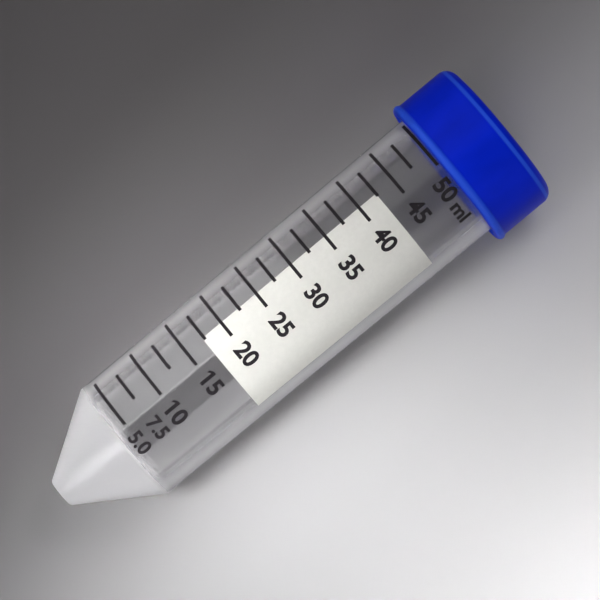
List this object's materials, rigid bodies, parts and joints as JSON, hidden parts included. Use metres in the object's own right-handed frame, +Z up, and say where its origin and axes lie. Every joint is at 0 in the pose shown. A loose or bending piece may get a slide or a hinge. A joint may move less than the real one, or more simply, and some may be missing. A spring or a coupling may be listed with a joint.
{
  "type": "50 ml conical tube",
  "caption": "Clear conical-bottom centrifuge tube with a smooth blue screw cap, printed graduations and a white writing patch, lying on its side.",
  "frame": {"origin": "middle of the box round the lying tube, on the ground it lies on", "axes": "+X along the tube from tip to cap, level; the tube's own axis rises from it towards the cap by 2.39 degrees; +Z up; the graduation lines face up and +Y, the writing patch up and -Y"},
  "size_m": [0.1184, 0.0351, 0.0352],
  "materials": {
    "clear_plastic": "hazy see-through polypropylene, smooth on the barrel and slightly frosted on the cone",
    "blue_plastic": "satin, solid colour",
    "white_ink": "matte print",
    "black_ink": "matte print"
  },
  "bodies": {
    "tube_body": {"tube": "clear_plastic", "writing_patch": "white_ink", "graduation_marks": "black_ink"},
    "cap_body": {"cap": "blue_plastic"}
  },
  "joints": [
    {"name": "cap_lift", "type": "slide", "parent": "tube_body", "child": "cap_body", "axis": [0.9991, 0, 0.0417], "range_m": [0, 0.03]}
  ]
}
